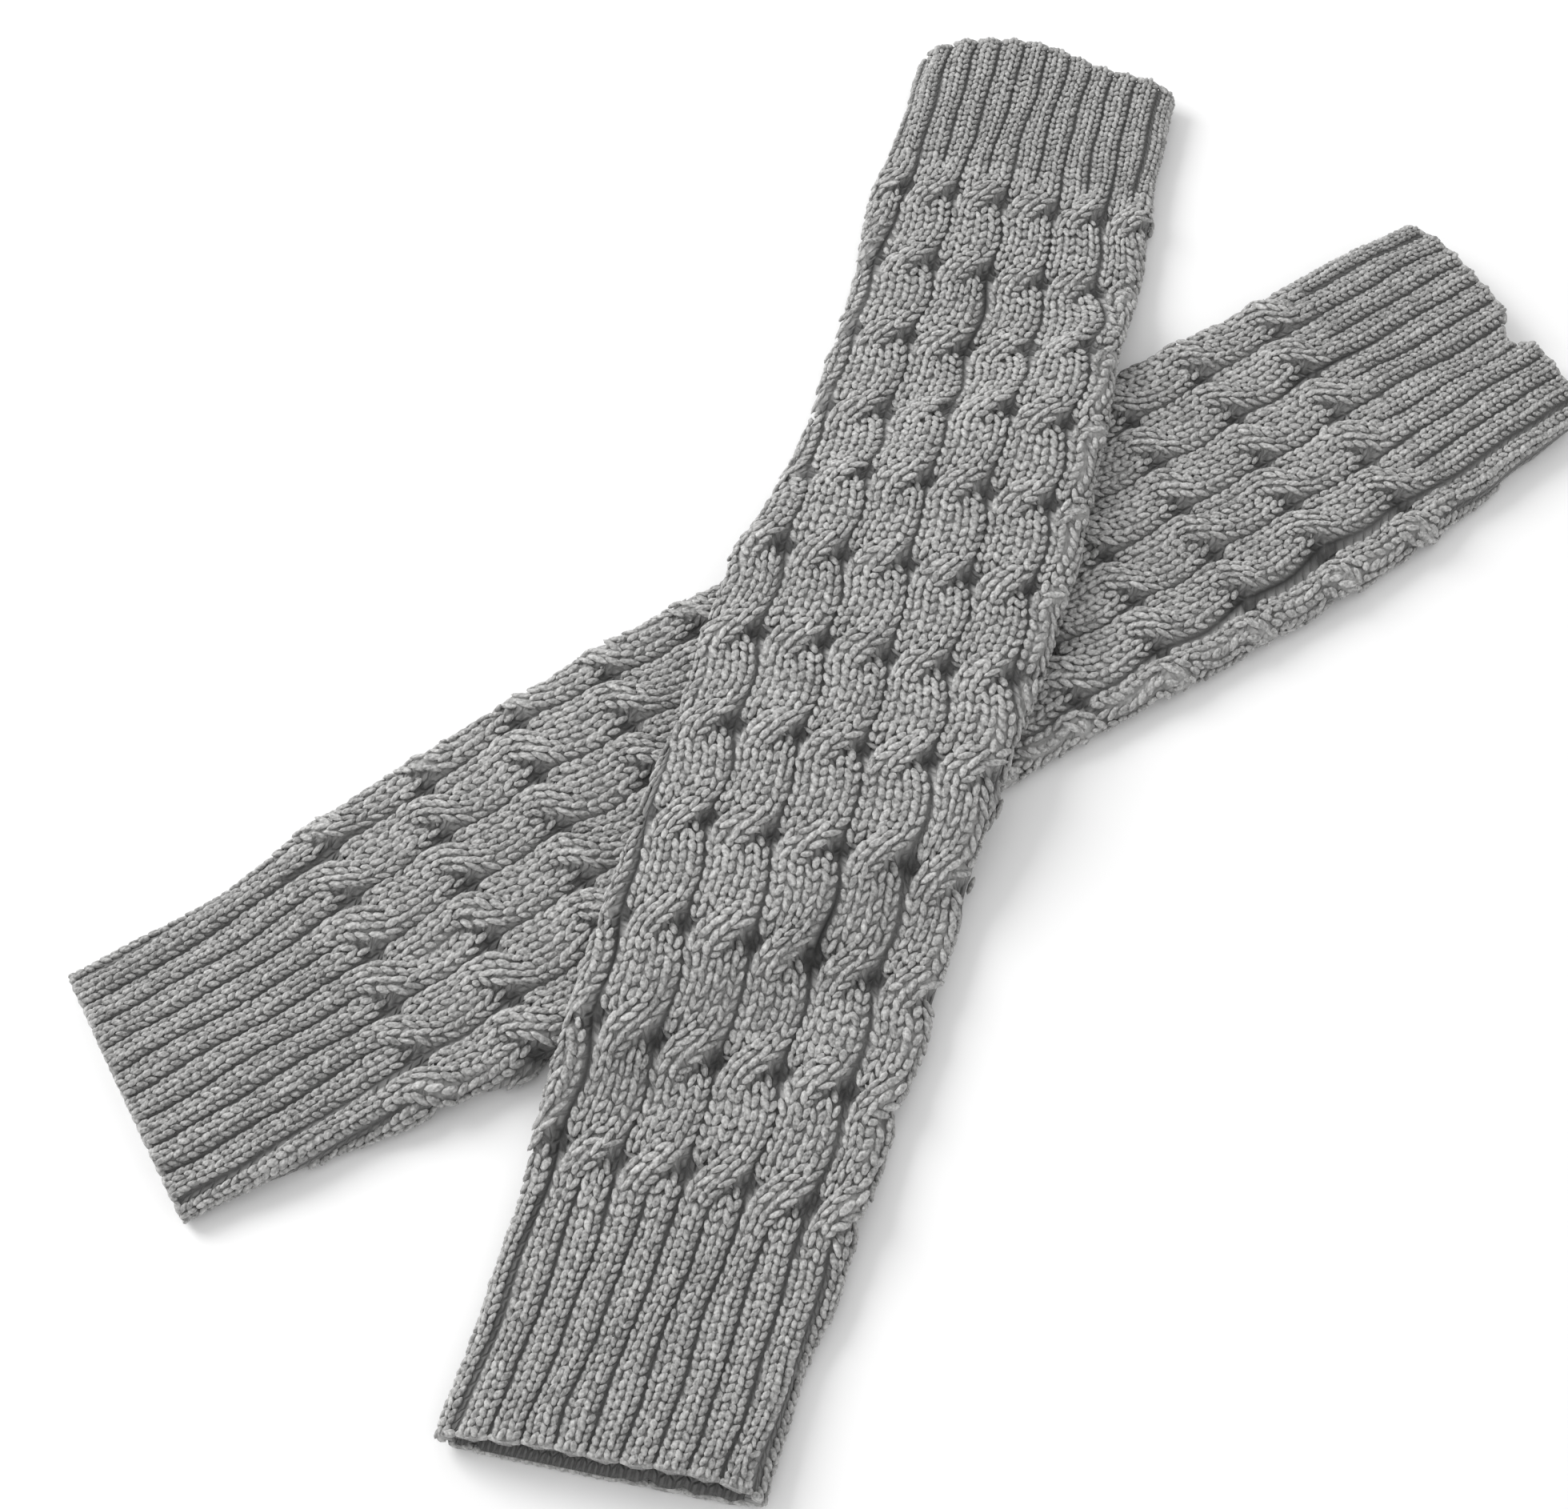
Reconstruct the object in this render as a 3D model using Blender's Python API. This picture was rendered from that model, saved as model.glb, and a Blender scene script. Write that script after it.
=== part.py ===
"""A pair of cabled leg warmers, laid flat and crossed, one over the other.

Each one is a knitted tube that lies flattened, with a ribbed cuff at both ends. Metres, +Z up, the
surface they lie on at z = 0. Tables are in millimetres.
"""
import math
from collections import namedtuple

import bpy

MM = 0.001

# The knitted fabric
WALL = 2.6 * MM                 # fabric between the raised cables and ribs
FLAT_HEIGHT = 6.2 * MM          # both layers of a tube, with a little air between them
SEAM_GAP = 0.3 * MM
CABLES_ROUND = 11
CABLES_SHOWN = 8                # cables that get raised forms; the rest lie plain underneath
GROOVES_LEFT_OF_REFERENCE = 4
RIBS_PER_CABLE = 2
CABLE_RISE = 2.3 * MM
RIB_RISE = 1.5 * MM
RIB_FULLNESS = 0.6              # under 1 squares the rib's rounded top
FADE_START = -0.25              # cables and ribs fade out where a fold turns down this far
FADE_END = -0.75                # and are gone here, with -1 facing straight down
RIM_SCALLOP = 1.2 * MM
CROWN_POWER = 4                 # the upper layer's bow is flat in the middle and falls to the folds
CORNER_POWER = 6                # a rim is straight in the middle and rounds off at its corners
RIM_REACH = 60.0 * MM           # how far a rounded or creased top rim is felt along the tube
CREASE_DRAWS_RIM = 2.0          # how far a crease draws the rim in, for each step that it dips

# One cable, as shares of its width and of the length from crossing to crossing
CROSSING_RISE = 0.9 * MM        # extra height of the strand that crosses over
CROSSING_SPREAD = 0.13
CROSSING_NARROWING = 0.28
STRAND_SWING = 0.19             # from the cable's middle to the middle of a strand
STRAND_HALF_WIDTH = 0.31
STRAND_SQUEEZE = 0.03
SWAP_START = 0.32
SWAP_LENGTH = 0.36

# Where the stitch changes, as shares of a leg warmer's length
FIRST_CROSSING = 0.1450
CROSSING_SPACING = 0.0636
CROSSINGS = 12

# How the upper tube rides over the lower one
LIFT = 9.9 * MM
LIFT_SHOULDER = 3.0 * MM        # full lift ends this far inside the lower tube's edge
LIFT_RUN_OUT = 24.0 * MM        # and the tube is back on the surface this far outside it
CROSSING_POINT = (-6.5 * MM, -17.1 * MM)

# Mesh density
CABLE_COLUMNS = (0.0, 0.16, 0.36, 0.5, 0.64, 0.84)
CABLE_ROWS = (0.0, 0.24, 0.41, 0.59, 0.76)
RIB_COLUMNS = (0.0, 0.32, 0.68)
CUFF_ROWS = (0.0, 0.08, 0.4, 0.7, 1.0)
UNDERSIDE_COLUMNS = 3
INNER_COLUMN_STEP = 2
LEG_INNER_ROW_STEP = 3
CUFF_INNER_ROW_STEP = 2
SHARP_ANGLE = math.radians(60)

# Marled grey yarn
LEG_SHADE = 0.32
CUFF_SHADE = 0.30
YARN_ROUGHNESS = 0.9

Row = namedtuple("Row", "at left right groove cable crown skew")
Crease = namedtuple("Crease", "across rim end width depth")
LegWarmer = namedtuple("LegWarmer", "name length heading to_crossing lift rim_round outline creases")

# at: distance from the top rim.  left, right: half widths beside the axis.
# groove: where the reference groove runs.  cable: width of one cable on top, groove to groove.
# crown: how far the upper layer bows up.
# skew: how far a course of stitches leans along the tube for each step across it.
OVER_OUTLINE = (
    Row(0, 38.0, 40.0, -1.0, 13.7, 1.6, 0.07),
    Row(31, 37.0, 40.5, -0.5, 13.6, 1.2, 0.03),
    Row(63, 37.0, 43.0, 0.5, 13.9, 1.0, -0.04),
    Row(108, 33.5, 42.5, 3.5, 16.0, 0.8, -0.05),
    Row(153, 33.0, 45.0, 4.2, 15.9, 0.8, -0.05),
    Row(183, 35.0, 46.5, 5.5, 15.6, 0.8, -0.05),
    Row(213, 39.0, 45.5, 7.5, 15.4, 0.8, -0.05),
    Row(248, 38.5, 43.5, 9.7, 15.8, 0.8, -0.05),
    Row(278, 38.5, 42.3, 11.0, 15.5, 0.8, -0.06),
    Row(315, 38.5, 41.5, 12.0, 14.6, 1.0, -0.06),
    Row(338, 37.7, 38.8, 12.2, 14.4, 1.2, -0.04),
    Row(378, 37.0, 37.5, 11.5, 13.9, 1.2, -0.02),
    Row(400, 36.5, 34.5, 10.8, 13.8, 1.8, -0.05),
    Row(428, 37.0, 34.0, 10.0, 13.7, 5.6, -0.07),
)
UNDER_OUTLINE = (
    Row(0, 45.0, 36.5, 0.0, 14.6, 2.8, 0.10),
    Row(18, 46.0, 38.5, 0.2, 14.9, 2.6, 0.12),
    Row(41, 46.3, 41.0, 0.5, 15.2, 2.0, 0.16),
    Row(62, 45.0, 43.0, 0.9, 15.3, 1.4, 0.18),
    Row(91, 46.5, 44.0, 1.8, 15.2, 0.9, 0.18),
    Row(126, 46.5, 43.3, 2.8, 15.4, 0.4, 0.18),
    Row(176, 46.3, 41.5, 2.6, 15.8, 0.2, 0.18),
    Row(228, 45.8, 43.5, -1.2, 15.9, 0.2, 0.18),
    Row(261, 46.0, 44.5, -3.3, 15.8, 0.4, 0.18),
    Row(296, 44.4, 45.0, -4.2, 15.5, 0.9, 0.18),
    Row(326, 42.0, 44.5, -1.8, 14.9, 1.2, 0.18),
    Row(352, 39.5, 41.0, 0.8, 14.3, 1.5, 0.14),
    Row(376, 35.6, 37.8, 2.0, 13.6, 1.8, 0.10),
    Row(411, 35.3, 33.3, 2.4, 13.3, 2.0, 0.06),
)
# A crease runs from a rim to its end, both measured from the top rim, at a place across the tube.
OVER_CREASES = (
    Crease(across=-19.0, rim=428, end=333, width=3.5, depth=0.7),
)
UNDER_CREASES = (
    Crease(across=4.0, rim=0, end=76, width=4.5, depth=2.3),
    Crease(across=-24.0, rim=411, end=300, width=4.0, depth=1.3),
    Crease(across=24.0, rim=411, end=310, width=4.0, depth=1.2),
)

OVER = LegWarmer("over", 428 * MM, math.radians(-105.6), 231 * MM, LIFT, 6.0 * MM,
                 OVER_OUTLINE, OVER_CREASES)
UNDER = LegWarmer("under", 411 * MM, math.radians(-146.7), 216 * MM, 0.0, 6.0 * MM,
                  UNDER_OUTLINE, UNDER_CREASES)


def clear_scene():
    for old in list(bpy.data.objects):
        bpy.data.objects.remove(old, do_unlink=True)


def ease(value):
    """A soft step from 0 to 1 as value goes from 0 to 1."""
    t = min(max(value, 0.0), 1.0)
    return t * t * (3.0 - 2.0 * t)


def bell(value):
    return math.exp(-value * value)


def read_outline(warmer, along):
    """The outline's row at a distance from the top rim, with lengths in metres."""
    rows = warmer.outline
    place = along / MM
    after = next((i for i, row in enumerate(rows) if i and row.at > place), len(rows) - 1)
    first, last = rows[after - 1], rows[after]
    share = ease((place - first.at) / (last.at - first.at))
    values = [a + (b - a) * share for a, b in zip(first, last)]
    lengths = [v * MM for v in values[:-1]]
    return Row(*lengths, values[-1])


def distance_round(row):
    """All round the plain outside of the flattened tube."""
    flat = 2.0 * (row.left + row.right - 2.0 * CABLE_RISE - FLAT_HEIGHT)
    return flat + math.pi * FLAT_HEIGHT


def arc_to(row, column):
    """How far round a column lies from the reference groove. Columns count cables from the first.

    The cables shown have the row's own width, and the rest share what is left underneath.
    """
    shown = (min(column, CABLES_SHOWN) - GROOVES_LEFT_OF_REFERENCE) * row.cable
    hidden = max(column - CABLES_SHOWN, 0.0) / (CABLES_ROUND - CABLES_SHOWN)
    return shown + hidden * (distance_round(row) - CABLES_SHOWN * row.cable)


def section_point(row, arc, offset):
    """A point of the flattened section, and how much it faces up.

    arc runs from the reference groove on top to the right, round and back. offset is outward.
    """
    fold = 0.5 * FLAT_HEIGHT
    reach = fold + offset
    left = -row.left + CABLE_RISE + fold
    right = row.right - CABLE_RISE - fold
    flat, bend = right - left, math.pi * fold
    place = (arc + row.groove - left) % (2.0 * (flat + bend))
    if place < flat:
        return left + place, fold + reach, 1.0
    if place < flat + bend:
        turn = (place - flat) / fold
        return right + reach * math.sin(turn), fold + reach * math.cos(turn), math.cos(turn)
    place -= flat + bend
    if place < flat:
        return right - place, fold - reach, -1.0
    turn = (place - flat) / fold
    return left - reach * math.sin(turn), fold - reach * math.cos(turn), -math.cos(turn)


def raised_share(facing):
    """Cables and ribs stand up on top and round the folds, and fade out above the surface."""
    return ease((facing - FADE_END) / (FADE_START - FADE_END))


def at_crossing(course):
    """1 where the strands cross, 0 between crossings. course runs from 0 to 1."""
    return bell((course - 0.5) / CROSSING_SPREAD)


def strand_height(across, centre, half_width):
    reach = (across - centre) / half_width
    return math.sqrt(max(0.0, 1.0 - reach * reach))


def cable_height(across, course):
    """Height of a cable: two strands that trade places once in each spacing."""
    crossing = at_crossing(course)
    swing = STRAND_SWING * (1.0 - 2.0 * ease((course - SWAP_START) / SWAP_LENGTH))
    half_width = STRAND_HALF_WIDTH - STRAND_SQUEEZE * crossing
    over = strand_height(across, 0.5 + swing, half_width) * (CABLE_RISE + CROSSING_RISE * crossing)
    under = strand_height(across, 0.5 - swing, half_width) * (CABLE_RISE - 2.0 * CROSSING_RISE * crossing)
    return max(over, under)


def rib_height(across):
    return RIB_RISE * math.sin(math.pi * across) ** RIB_FULLNESS


def crease_depth(warmer, across, along):
    """How far the upper layer dips into its lengthwise creases, which run in from a rim."""
    dip = 0.0
    for crease in warmer.creases:
        inward = (along / MM - crease.rim) / (crease.end - crease.rim)
        beside = (across / MM - crease.across) / crease.width
        dip += crease.depth * MM * (1.0 - ease(inward)) * bell(beside)
    return dip


def on_the_surface(warmer, across, along, height):
    """From a place on the tube to a place on the table, lifted where it rides over the other."""
    ahead = (math.cos(warmer.heading), math.sin(warmer.heading))
    aside = (-ahead[1], ahead[0])
    run = along - warmer.to_crossing
    x = CROSSING_POINT[0] + ahead[0] * run + aside[0] * across
    y = CROSSING_POINT[1] + ahead[1] * run + aside[1] * across
    return x, y, height + warmer.lift * lift_share(x, y)


def lift_share(x, y):
    """1 above the lower tube, down to 0 a little way outside its edges."""
    ahead = (math.cos(UNDER.heading), math.sin(UNDER.heading))
    dx, dy = x - CROSSING_POINT[0], y - CROSSING_POINT[1]
    across = -ahead[1] * dx + ahead[0] * dy
    row = read_outline(UNDER, UNDER.to_crossing + ahead[0] * dx + ahead[1] * dy)
    edge = row.right if across > 0.0 else row.left
    return 1.0 - ease((abs(across) - edge + LIFT_SHOULDER) / (LIFT_SHOULDER + LIFT_RUN_OUT))


def tube_point(warmer, along, column, rise, scallop=0.0):
    """A point of the fabric. rise is its height over the plain outer face, or -WALL inside."""
    row = read_outline(warmer, along)
    arc = arc_to(row, column)
    facing = section_point(row, arc, 0.0)[2]
    offset = rise * raised_share(facing) if rise > 0.0 else rise
    across, height, facing = section_point(row, arc, offset)
    upper = min(max((height - WALL) / (FLAT_HEIGHT - 2.0 * WALL), 0.0), 1.0)
    half = row.right if across > 0.0 else row.left
    edge = min(abs(across) / half, 1.0)
    dip = crease_depth(warmer, across, along)
    bow = max(row.crown * (1.0 - edge ** CROWN_POWER) - dip, 0.0)
    near_top_rim = 1.0 - ease(along / RIM_REACH)
    drawn_in = (warmer.rim_round * edge ** CORNER_POWER + CREASE_DRAWS_RIM * dip) * near_top_rim
    place = along + row.skew * across + drawn_in + scallop
    return on_the_surface(warmer, across, place, height + bow * upper)


def leg_span(warmer):
    spacing = CROSSING_SPACING * warmer.length
    start = FIRST_CROSSING * warmer.length - 0.5 * spacing
    return start, start + CROSSINGS * spacing


def leg_rings(warmer):
    """Outer and inner rings of the cabled leg, from the top cuff down."""
    start, end = leg_span(warmer)
    spacing = (end - start) / CROSSINGS
    courses = [n + row for n in range(CROSSINGS) for row in CABLE_ROWS] + [CROSSINGS]
    columns = [n + share for n in range(CABLES_SHOWN) for share in CABLE_COLUMNS]
    columns += underside_columns()
    outer, inner = [], []
    for index, course in enumerate(courses):
        along = min(start + course * spacing, end - SEAM_GAP)
        narrowing = 1.0 - CROSSING_NARROWING * at_crossing(course % 1.0)
        ring = []
        for column in columns:
            share = column % 1.0
            raised = column < CABLES_SHOWN and share > 0.0
            in_cable = 0.5 + (share - 0.5) * narrowing if raised else share
            rise = cable_height(in_cable, course % 1.0) if raised else 0.0
            ring.append(tube_point(warmer, along, int(column) + in_cable, rise))
        outer.append(ring)
        if index % LEG_INNER_ROW_STEP == 0:
            inner.append(inner_ring(warmer, along, columns))
    return outer, inner


def cuff_rings(warmer, start, end, rim):
    """Outer and inner rings of a ribbed cuff. rim is the end that is open, start or end."""
    ribs = CABLES_SHOWN * RIBS_PER_CABLE
    columns = [(n + share) / RIBS_PER_CABLE for n in range(ribs) for share in RIB_COLUMNS]
    columns += underside_columns()
    other = end if rim == start else start
    outer, inner = [], []
    for index, share in enumerate(CUFF_ROWS if rim == start else CUFF_ROWS[::-1]):
        along = rim + (other - rim) * share
        scallop = math.copysign(RIM_SCALLOP, other - rim) if share == 0.0 else 0.0
        ring = []
        for column in columns:
            in_rib = (column * RIBS_PER_CABLE) % 1.0
            in_groove = in_rib == 0.0
            rise = rib_height(in_rib) if column < CABLES_SHOWN and not in_groove else 0.0
            drawn_in = scallop if column < CABLES_SHOWN and in_groove else 0.0
            ring.append(tube_point(warmer, along, column, rise, drawn_in))
        outer.append(ring)
        if index % CUFF_INNER_ROW_STEP == 0:
            inner.append(inner_ring(warmer, along, columns))
    return outer, inner


def underside_columns():
    plain = CABLES_ROUND - CABLES_SHOWN
    return [CABLES_SHOWN + plain * n / (UNDERSIDE_COLUMNS + 1) for n in range(UNDERSIDE_COLUMNS + 1)]


def inner_ring(warmer, along, columns):
    """The plain inside of the fabric, on every second column of the outside."""
    return [tube_point(warmer, along, column, -WALL) for column in columns[::INNER_COLUMN_STEP]]


def skin_faces(first, rows, count, turned):
    faces = []
    for row in range(rows - 1):
        for column in range(count):
            a = first + row * count + column
            b = first + row * count + (column + 1) % count
            quad = (a, b, b + count, a + count)
            faces += split_quad(quad[::-1] if turned else quad)
    return faces


def split_quad(quad):
    a, b, c, d = quad
    return [(a, b, c), (a, c, d)]


def end_faces(outer_first, outer_count, inner_first, inner_count, turned):
    """The rim between an outer ring and an inner ring that has every second column."""
    faces = []
    for n in range(inner_count):
        i0, i1 = inner_first + n, inner_first + (n + 1) % inner_count
        steps = range(INNER_COLUMN_STEP + 1)
        span = [outer_first + (n * INNER_COLUMN_STEP + k) % outer_count for k in steps]
        fan = [(i0, span[k + 1], span[k]) for k in range(INNER_COLUMN_STEP)]
        fan.append((i0, i1, span[-1]))
        faces += [face[::-1] for face in fan] if turned else fan
    return faces


def tube_object(name, rings, material):
    """One closed solid: the outer skin, the plain inside, and a rim at both ends."""
    outer, inner = rings
    points = [point for ring in outer + inner for point in ring]
    around_out, around_in = len(outer[0]), len(inner[0])
    inner_first = len(outer) * around_out
    faces = skin_faces(0, len(outer), around_out, turned=True)
    faces += skin_faces(inner_first, len(inner), around_in, turned=False)
    faces += end_faces(0, around_out, inner_first, around_in, turned=True)
    last_out = (len(outer) - 1) * around_out
    last_in = inner_first + (len(inner) - 1) * around_in
    faces += end_faces(last_out, around_out, last_in, around_in, turned=False)
    mesh = bpy.data.meshes.new(name)
    mesh.from_pydata(points, [], faces)
    mesh.validate()
    mesh.shade_smooth()
    mesh.set_sharp_from_angle(angle=SHARP_ANGLE)
    mesh.materials.append(material)
    made = bpy.data.objects.new(name, mesh)
    bpy.context.scene.collection.objects.link(made)
    return made


def yarn_material(name, shade):
    """Grey marled yarn, matt."""
    made = bpy.data.materials.new(name)
    made.use_nodes = True
    surface = made.node_tree.nodes["Principled BSDF"]
    surface.inputs["Base Color"].default_value = (shade, shade, shade, 1.0)
    surface.inputs["Roughness"].default_value = YARN_ROUGHNESS
    surface.inputs["Metallic"].default_value = 0.0
    return made


def top_cuff(warmer):
    name = warmer.name + "_top_cuff"
    end = leg_span(warmer)[0] - SEAM_GAP
    return tube_object(name, cuff_rings(warmer, 0.0, end, rim=0.0), yarn_material(name, CUFF_SHADE))


def leg(warmer):
    name = warmer.name + "_leg"
    return tube_object(name, leg_rings(warmer), yarn_material(name, LEG_SHADE))


def ankle_cuff(warmer):
    name = warmer.name + "_ankle_cuff"
    start, end = leg_span(warmer)[1], warmer.length
    return tube_object(name, cuff_rings(warmer, start, end, rim=end), yarn_material(name, CUFF_SHADE))


clear_scene()
for leg_warmer in (UNDER, OVER):
    top_cuff(leg_warmer)
    leg(leg_warmer)
    ankle_cuff(leg_warmer)
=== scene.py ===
import math

import bpy
import numpy as np
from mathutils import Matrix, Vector


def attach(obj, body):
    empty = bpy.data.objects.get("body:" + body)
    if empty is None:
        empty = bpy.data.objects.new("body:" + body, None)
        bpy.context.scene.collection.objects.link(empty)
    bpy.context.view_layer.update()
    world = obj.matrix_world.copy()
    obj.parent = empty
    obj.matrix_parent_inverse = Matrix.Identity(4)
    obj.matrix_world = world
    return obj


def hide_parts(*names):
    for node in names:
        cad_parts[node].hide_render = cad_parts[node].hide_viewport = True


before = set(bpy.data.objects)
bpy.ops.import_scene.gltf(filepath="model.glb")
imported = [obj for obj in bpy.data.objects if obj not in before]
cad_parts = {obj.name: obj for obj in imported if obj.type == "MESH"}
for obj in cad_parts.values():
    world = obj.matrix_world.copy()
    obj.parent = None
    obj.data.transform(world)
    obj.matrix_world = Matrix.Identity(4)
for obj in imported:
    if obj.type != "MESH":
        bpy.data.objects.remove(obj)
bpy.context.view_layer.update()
mm = 0.001

# The knitted tube, flattened
fabric = {
    "wall": 2.6 * mm,
    "flatHeight": 6.2 * mm,         # both layers, with a little air between them
    "cablesRound": 11,
    "cablesShown": 8,               # the rest lie plain underneath
    "groovesLeft": 4,               # left of the reference groove
    "cableWidth": 15.7 * mm,
    "repeat": 27.2 * mm,            # from crossing to crossing
    "cableRise": 2.3 * mm,
    "fadeStart": -0.25,             # cables and ribs fade out where a fold turns down this far
    "fadeEnd": -0.75,               # and are gone here, with -1 facing straight down
    "crossingFade": 1.2,            # how soon crossings stand up full height, inward from a fold
    "holdsTogether": 0.6,           # how far cables keep their width where they turn round a fold
    "crownPower": 4,                # the upper layer's bow is flat in the middle
    "cornerPower": 6,               # a rim is straight in the middle and round at its corners
    "rimReach": 60.0 * mm,          # how far along a rim's shape is felt
    "waveReach": 35.0 * mm,
    "recessReach": 8.0 * mm,
    "calmReach": 8.0 * mm,          # the fabric's unevenness dies away this near a rim
    "rimScallop": 1.7 * mm,
    "creaseDrawsRim": 2.0,
}

# One cable, as shares of its width and of the length from crossing to crossing
cable = {
    "firstCrossing": 0.145,         # this and the spacing are shares of the leg warmer's length
    "spacing": 0.0636,
    "crossings": 12,
    "wales": 4,                     # columns of stitches, two to a strand
    "rows": 9,                      # from crossing to crossing
    "groove": 0.025,
    "flatTop": 3.5,                 # higher powers make a flatter top with steeper sides
    "strandTop": 3,
    "waist": 0.07,                  # how much it draws in at a crossing
    "waistLength": 0.11,
    "bulge": 0.05,                  # how far it leans to the right between crossings, in columns
    "crossingAt": 0.53,
    "crossingLength": 0.2,
    "twistLength": 0.22,            # the stretch where stitches leave the flat top for a strand
    "crossingRise": 1.3 * mm,
    "overSwap": (0.27, 0.52),       # start and length of each strand's way across
    "underSwap": (0.46, 0.13),
    "overSpread": 0.12,             # the upper strand is pulled wider where it crosses
    "overFullness": 1.15,
    "underHeight": 0.10,            # what is left of the lower strand where it is crossed
    "underDip": (0.75, 0.09),       # how far and how long the lower strand dives
    "underDeeper": 0.2 * mm,
    "coverEdges": (1.0, 1.04),      # how far the upper strand covers the lower one, left and right
    "coverSoftness": 0.32,
    "coverSpan": (0.14, 0.90),      # start and end of the covered stretch
    "coverFade": 0.1,
    "holeLength": 0.12,
    "ribsEnd": 0.42,                # of a repeat, where the cuff's ribs turn into strands
    "ribGroove": 0.15,
}
steepness = fabric["cableWidth"] / fabric["repeat"]     # turns shares across and along into a slope

# How the upper tube rides over the lower one
lay = {
    "lift": 9.9 * mm,
    "shoulder": 3.0 * mm,           # full lift ends this far inside the lower tube's edge
    "runOut": 24.0 * mm,            # and the tube is back on the table this far outside it
    "crossingPoint": (-6.5 * mm, -17.1 * mm),
}

# Each outline row is at, left, right, groove, cable, crown and skew, in mm from the top rim.
# A crease is across, rim, end, width and depth in mm.
# A rim's wave is rim, column, width in columns and how far out in mm.
# A ladder, a groove pulled open, is column, along, half width in columns and length in mm.
# A pinch is column, along, how wide in columns, how long and how deep in mm.
overLegWarmer = {
    "name": "over",
    "length": 428 * mm,
    "heading": math.radians(-105.6),
    "toCrossing": 231 * mm,
    "lift": lay["lift"],
    "rimRound": 6 * mm,
    "outline": (
        (0, 38.0, 40.0, -1.0, 13.7, 1.6, 0.07),
        (31, 37.0, 40.5, -0.5, 13.6, 1.2, 0.03),
        (63, 37.0, 43.0, 0.5, 13.9, 1.0, -0.04),
        (108, 33.5, 42.5, 3.5, 16.0, 0.8, -0.05),
        (153, 33.0, 45.0, 4.2, 15.9, 0.8, -0.05),
        (183, 35.0, 46.5, 5.5, 15.6, 0.8, -0.05),
        (213, 39.0, 45.5, 7.5, 15.4, 0.8, -0.05),
        (248, 38.5, 43.5, 9.7, 15.8, 0.8, -0.05),
        (278, 38.5, 42.3, 11.0, 15.5, 0.8, -0.06),
        (315, 38.5, 41.5, 12.0, 14.6, 1.0, -0.06),
        (338, 37.7, 38.8, 12.2, 14.4, 1.2, -0.04),
        (378, 37.0, 37.5, 11.5, 13.9, 1.2, -0.02),
        (400, 36.5, 34.5, 10.8, 13.8, 1.8, -0.05),
        (428, 37.0, 34.0, 10.0, 13.7, 5.6, -0.07),
    ),
    "creases": ((-19.0, 428, 333, 3.5, 0.7),),
    "rimWaves": (
        ("top", 3.8, 0.8, 1.9),
        ("top", 0.7, 1.1, -8.0),
        ("top", 1.7, 1.1, -3.0),
        ("top", 5.4, 0.8, -2.0),
        ("ankle", 4.6, 1.2, -1.4),
        ("ankle", 2.4, 0.8, -0.8),
    ),
    "ladders": (
        (1.0, 290, 0.04, 80),
        (2.05, 84, 0.05, 14),
        (4.0, 102, 0.05, 16),
        (4.0, 300, 0.04, 14),
    ),
    "pinches": (
        (3.30, 349, 0.22, 1.7, 2.2),
        (2.02, 84, 0.10, 14, 1.0),
        (4.0, 105, 0.10, 16, 0.8),
        (4.0, 300, 0.10, 14, 0.8),
        (1.0, 330, 0.14, 30, 0.8),
    ),
}
underLegWarmer = {
    "name": "under",
    "length": 411 * mm,
    "heading": math.radians(-146.7),
    "toCrossing": 216 * mm,
    "lift": 0.0,
    "rimRound": 6 * mm,
    "outline": (
        (0, 45.0, 36.5, 0.0, 14.6, 2.8, 0.10),
        (18, 46.0, 38.5, 0.2, 14.9, 2.6, 0.12),
        (41, 46.3, 41.0, 0.5, 15.2, 2.0, 0.16),
        (62, 45.0, 43.0, 0.9, 15.3, 1.4, 0.18),
        (91, 46.5, 44.0, 1.8, 15.2, 0.9, 0.18),
        (126, 46.5, 43.3, 2.8, 15.4, 0.4, 0.18),
        (176, 46.3, 41.5, 2.6, 15.8, 0.2, 0.18),
        (228, 45.8, 43.5, -1.2, 15.9, 0.2, 0.18),
        (261, 46.0, 44.5, -3.3, 15.8, 0.4, 0.18),
        (296, 44.4, 45.0, -4.2, 15.5, 0.9, 0.18),
        (326, 42.0, 44.5, -1.8, 14.9, 1.2, 0.18),
        (352, 39.5, 41.0, 0.8, 14.3, 1.5, 0.14),
        (376, 35.6, 37.8, 2.0, 13.6, 1.8, 0.10),
        (411, 35.3, 33.3, 2.4, 13.3, 2.0, 0.06),
    ),
    "creases": (
        (4.0, 0, 76, 4.5, 2.3),
        (-24.0, 411, 300, 4.0, 1.3),
        (24.0, 411, 310, 4.0, 1.2),
    ),
    "rimWaves": (),
    "ladders": (
        (6.02, 100, 0.09, 40),
        (3.0, 60, 0.04, 20),
        (4.55, 330, 0.03, 16),
    ),
    "pinches": (
        (3.0, 60, 0.14, 26, 1.0),
        (6.05, 90, 0.16, 60, 1.2),
        (4.55, 330, 0.12, 16, 1.2),
        (5.9, 350, 0.12, 30, 0.8),
    ),
}


# The form of the tube, worked out for whole arrays of places at once

def ease(value):
    t = np.clip(value, 0.0, 1.0)
    return t * t * (3.0 - 2.0 * t)


def bell(value):
    return np.exp(-value * value)


def readOutline(warmer, along):
    rows = np.array(warmer["outline"], float)
    rows[:, 0:6] *= mm              # all but the skew
    after = np.clip(np.searchsorted(rows[:, 0], along, side="right"), 1, len(rows) - 1)
    first, last = rows[after - 1], rows[after]
    share = ease((along - first[..., 0]) / (last[..., 0] - first[..., 0]))[..., None]
    return np.moveaxis(first + (last - first) * share, -1, 0)[1:]


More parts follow.
